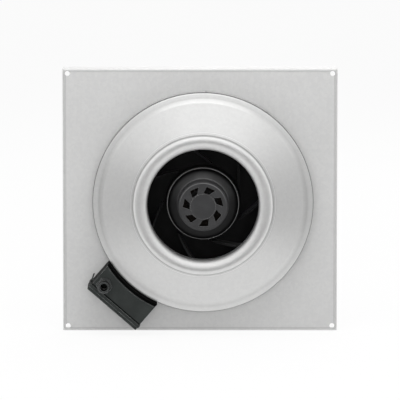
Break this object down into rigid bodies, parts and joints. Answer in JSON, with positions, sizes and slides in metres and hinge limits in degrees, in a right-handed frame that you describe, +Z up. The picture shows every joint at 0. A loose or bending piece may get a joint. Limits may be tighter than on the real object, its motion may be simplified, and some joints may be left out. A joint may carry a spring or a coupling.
{
  "type": "wall-mounted duct fan",
  "caption": "Square folded wall plate with a round spun casing, bell-mouth inlet, backward-curved wheel on an external-rotor motor and a side terminal box.",
  "frame": {"origin": "middle of the four wall screw holes, on the plate's front face", "axes": "+Z up, -Y towards the viewer along the fan's axis, +X to the right seen from the front"},
  "size_m": [0.415, 0.1622, 0.399],
  "materials": {
    "plate_steel": "galvanised, matt",
    "spun_steel": "galvanised, spun",
    "wheel_plastic": "moulded black",
    "rotor_paint": "satin black",
    "box_plastic": "moulded dark grey",
    "gland_plastic": "moulded dark grey",
    "zinc_fastener": "zinc plated",
    "dark_steel": "phosphated",
    "ground_steel": "ground",
    "cast_alloy": "die cast",
    "core_iron": "laminated, varnished",
    "winding_copper": "enamelled wire",
    "soft_rubber": "black",
    "lead_sheath": "black sheath",
    "terminal_nylon": "natural",
    "capacitor_case": "white",
    "terminal_brass": "nickel-free brass"
  },
  "bodies": {
    "fan_casing": {"wall_plate": "plate_steel", "casing_ring": "plate_steel", "outlet_pan": "plate_steel", "motor_bracket": "plate_steel", "casing_front": "spun_steel", "inlet_nozzle": "spun_steel", "terminal_box": "box_plastic", "gland_body": "gland_plastic", "gland_nut": "gland_plastic", "pan_rivets": "zinc_fastener", "bracket_screws": "zinc_fastener", "motor_screws": "zinc_fastener", "box_screws": "zinc_fastener", "front_bearing": "ground_steel", "rear_bearing": "ground_steel", "motor_flange": "cast_alloy", "stator_core": "core_iron", "stator_winding": "winding_copper", "lead_grommet": "soft_rubber", "gland_seal": "soft_rubber", "box_seal": "soft_rubber", "motor_lead": "lead_sheath", "lead_tie": "lead_sheath", "terminal_block": "terminal_nylon", "run_capacitor": "capacitor_case", "terminal_screws": "terminal_brass", "earth_screw": "terminal_brass"},
    "rotor": {"rotor_bell": "rotor_paint", "rotor_core": "core_iron", "motor_shaft": "ground_steel", "shaft_circlip": "dark_steel", "preload_washer": "dark_steel", "fan_wheel": "wheel_plastic", "wheel_shroud": "wheel_plastic", "wheel_retainer": "dark_steel"},
    "lid": {"box_lid": "box_plastic", "lid_seal": "soft_rubber"}
  },
  "joints": [
    {"name": "rotor_spin", "type": "hinge", "parent": "fan_casing", "child": "rotor", "pos_m": [0.0045, 0, 0], "axis": [0, -1, 0], "continuous": true},
    {"name": "lid_lift", "type": "slide", "parent": "fan_casing", "child": "lid", "axis": [-0.6561, 0, -0.7547], "range_m": [0, 0.06]}
  ]
}
